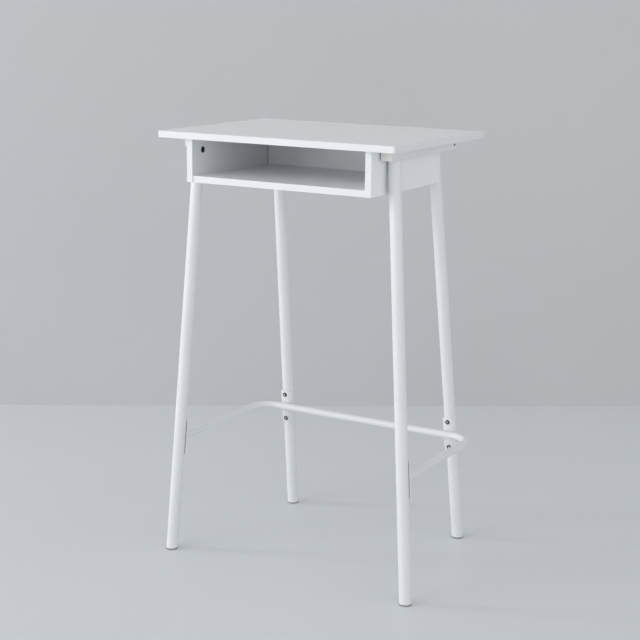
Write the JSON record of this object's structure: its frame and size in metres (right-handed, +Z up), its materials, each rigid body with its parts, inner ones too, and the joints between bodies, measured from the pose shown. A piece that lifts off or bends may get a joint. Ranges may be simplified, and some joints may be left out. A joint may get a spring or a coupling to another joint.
{
  "type": "standing desk",
  "caption": "White standing desk: board top, open compartment below it, splayed round tube legs and a bent tube footrest bolted to the legs.",
  "frame": {"origin": "on the floor, under the centre of the desk's overall box", "axes": "+Z up, +X to the right of the person who stands at the desk, +Y away from them, towards the back"},
  "size_m": [0.6668, 0.5218, 1.02],
  "materials": {
    "white_board": "white melamine-faced board, fine satin texture",
    "edge_strip": "white plastic edge strip, satin",
    "white_steel": "white powder coat, semi-gloss with slight orange peel",
    "cream_plastic": "off-white moulded plastic with a faint cream cast",
    "foot_plastic": "off-white moulded plastic",
    "nickel_bolt": "nickel-plated steel",
    "dark_zinc": "dark zinc casting, dull",
    "plated_steel": "zinc-plated steel",
    "beech": "plain fluted beech dowel"
  },
  "bodies": {
    "root": {"top_board": "white_board", "left_side_panel": "white_board", "right_side_panel": "white_board", "compartment_floor": "white_board", "compartment_back": "white_board", "top_front_strip": "edge_strip", "top_rear_strip": "edge_strip", "top_left_strip": "edge_strip", "top_right_strip": "edge_strip", "left_panel_front_strip": "edge_strip", "right_panel_front_strip": "edge_strip", "left_panel_bottom_strip": "edge_strip", "right_panel_bottom_strip": "edge_strip", "floor_front_strip": "edge_strip", "left_rail": "white_steel", "right_rail": "white_steel", "rear_cross_rail": "white_steel", "left_front_leg": "white_steel", "right_front_leg": "white_steel", "left_rear_leg": "white_steel", "right_rear_leg": "white_steel", "footrest_bar": "white_steel", "left_front_saddle": "white_steel", "right_front_saddle": "white_steel", "left_rear_saddle": "white_steel", "right_rear_saddle": "white_steel", "left_rail_front_cap": "cream_plastic", "right_rail_front_cap": "cream_plastic", "left_rail_rear_cap": "cream_plastic", "right_rail_rear_cap": "cream_plastic", "left_front_foot_cap": "foot_plastic", "right_front_foot_cap": "foot_plastic", "left_rear_foot_cap": "foot_plastic", "right_rear_foot_cap": "foot_plastic", "front_saddle_bolts": "nickel_bolt", "rear_saddle_bolts": "nickel_bolt", "side_panel_cams": "dark_zinc", "floor_board_cams": "dark_zinc", "back_board_cams": "dark_zinc", "cam_bolts": "plated_steel", "top_screws": "plated_steel", "cross_rail_bolts": "plated_steel", "leg_rivet_nuts": "plated_steel", "cross_rail_end_blocks": "plated_steel", "board_dowels": "beech"}
  },
  "joints": []
}
